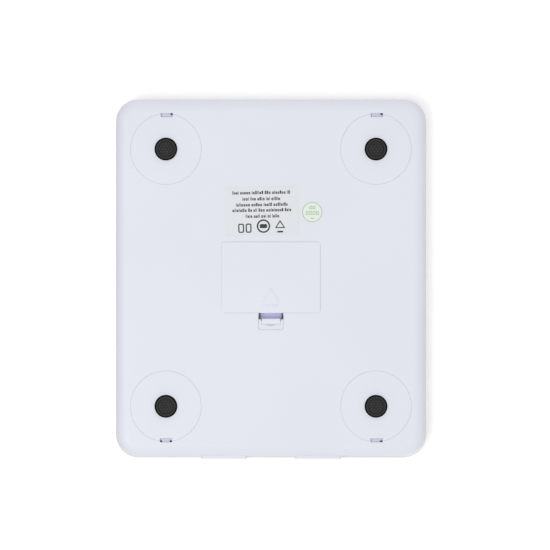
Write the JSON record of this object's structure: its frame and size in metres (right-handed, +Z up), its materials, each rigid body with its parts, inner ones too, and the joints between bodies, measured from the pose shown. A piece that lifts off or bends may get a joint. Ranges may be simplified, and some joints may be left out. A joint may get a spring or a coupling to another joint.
{
  "type": "digital kitchen scale",
  "caption": "Flat digital kitchen scale: glass platform on a white plastic case with weighing feet, battery door and front edge buttons.",
  "frame": {"origin": "centre of the bounding box at the floor, where the rubber feet stand", "axes": "+Z up through the platform, -Y towards the front edge with its buttons, +X to the right of a person facing that edge"},
  "size_m": [0.1772, 0.2038, 0.021],
  "materials": {
    "case_plastic": "white ABS with a cool cast, fine satin texture",
    "carrier_plastic": "plain moulded white",
    "platform_glass": "clear tempered glass, ground edge",
    "platform_print": "white print seen through the glass",
    "tape": "double-sided tape",
    "screw_steel": "zinc plated",
    "rubber": "black, ribbed",
    "cell_steel": "spring steel plate",
    "battery_jacket": "printed film sleeve, plain",
    "contact_nickel": "nickel plated spring steel",
    "board_laminate": "green solder mask",
    "black_resin": "resin drop",
    "black_plastic": "moulded black",
    "shield_steel": "tinned can",
    "lcd_glass": "grey display glass with its polariser",
    "backlight_plastic": "white diffuser block",
    "white_wire": "PVC sleeve",
    "black_wire": "PVC sleeve",
    "red_wire": "PVC sleeve",
    "label_paper": "pale grey rating label, lettering left out",
    "sticker_film": "pale green inspection sticker"
  },
  "bodies": {
    "base": {"bottom_case": "case_plastic", "top_case": "case_plastic", "load_cell_carrier_front_left": "carrier_plastic", "load_cell_carrier_front_right": "carrier_plastic", "load_cell_carrier_rear_left": "carrier_plastic", "load_cell_carrier_rear_right": "carrier_plastic", "platform_glass": "platform_glass", "platform_print": "platform_print", "platform_tape": "tape", "case_screw_front_left": "screw_steel", "case_screw_front_right": "screw_steel", "case_screw_rear_left": "screw_steel", "case_screw_rear_right": "screw_steel", "load_cell_front_left": "cell_steel", "load_cell_front_right": "cell_steel", "load_cell_rear_left": "cell_steel", "load_cell_rear_right": "cell_steel", "battery_cell_front": "battery_jacket", "battery_cell_middle": "battery_jacket", "battery_cell_rear": "battery_jacket", "contact_spring_front": "contact_nickel", "contact_spring_middle": "contact_nickel", "contact_spring_rear": "contact_nickel", "contact_single_left": "contact_nickel", "contact_pair_left": "contact_nickel", "contact_single_right": "contact_nickel", "contact_pair_right": "contact_nickel", "main_board": "board_laminate", "controller_drop": "black_resin", "converter_chip": "black_plastic", "switch_left": "black_plastic", "switch_right": "black_plastic", "lcd_contact_strip": "black_plastic", "radio_module": "shield_steel", "crystal": "shield_steel", "lcd_glass": "lcd_glass", "lcd_backlight": "backlight_plastic", "cell_lead_front_left": "white_wire", "cell_lead_front_right": "white_wire", "cell_lead_rear_left": "white_wire", "cell_lead_rear_right": "white_wire", "battery_lead_left": "black_wire", "battery_lead_right": "red_wire", "rating_label": "label_paper", "inspection_sticker": "sticker_film"},
    "foot_front_left": {"foot_disc_front_left": "case_plastic", "foot_pad_front_left": "rubber"},
    "foot_front_right": {"foot_disc_front_right": "case_plastic", "foot_pad_front_right": "rubber"},
    "foot_rear_left": {"foot_disc_rear_left": "case_plastic", "foot_pad_rear_left": "rubber"},
    "foot_rear_right": {"foot_disc_rear_right": "case_plastic", "foot_pad_rear_right": "rubber"},
    "battery_door": {"battery_door": "case_plastic"},
    "door_latch": {"door_latch": "case_plastic"},
    "button_left": {"button_left": "case_plastic", "switch_plunger_left": "black_plastic"},
    "button_right": {"button_right": "case_plastic", "switch_plunger_right": "black_plastic"}
  },
  "joints": [
    {"name": "foot_front_left_press", "type": "slide", "parent": "base", "child": "foot_front_left", "axis": [0, 0, 1], "range_m": [0, 0.0004], "stiffness_N_per_m": 2000},
    {"name": "foot_front_right_press", "type": "slide", "parent": "base", "child": "foot_front_right", "axis": [0, 0, 1], "range_m": [0, 0.0004], "stiffness_N_per_m": 2000},
    {"name": "foot_rear_left_press", "type": "slide", "parent": "base", "child": "foot_rear_left", "axis": [0, 0, 1], "range_m": [0, 0.0004], "stiffness_N_per_m": 2000},
    {"name": "foot_rear_right_press", "type": "slide", "parent": "base", "child": "foot_rear_right", "axis": [0, 0, 1], "range_m": [0, 0.0004], "stiffness_N_per_m": 2000},
    {"name": "battery_door_swing", "type": "hinge", "parent": "base", "child": "battery_door", "pos_m": [0, 0.021, 0.002], "axis": [1, 0, 0], "range_deg": [0, 75]},
    {"name": "door_latch_flex", "type": "hinge", "parent": "battery_door", "child": "door_latch", "pos_m": [0, -0.0209, 0.0088], "axis": [1, 0, 0], "range_deg": [0, 8], "stiffness_Nm_per_rad": 0.2},
    {"name": "button_left_press", "type": "slide", "parent": "base", "child": "button_left", "axis": [0, 1, 0], "range_m": [0, 0.0005], "stiffness_N_per_m": 3000},
    {"name": "button_right_press", "type": "slide", "parent": "base", "child": "button_right", "axis": [0, 1, 0], "range_m": [0, 0.0005], "stiffness_N_per_m": 3000}
  ]
}
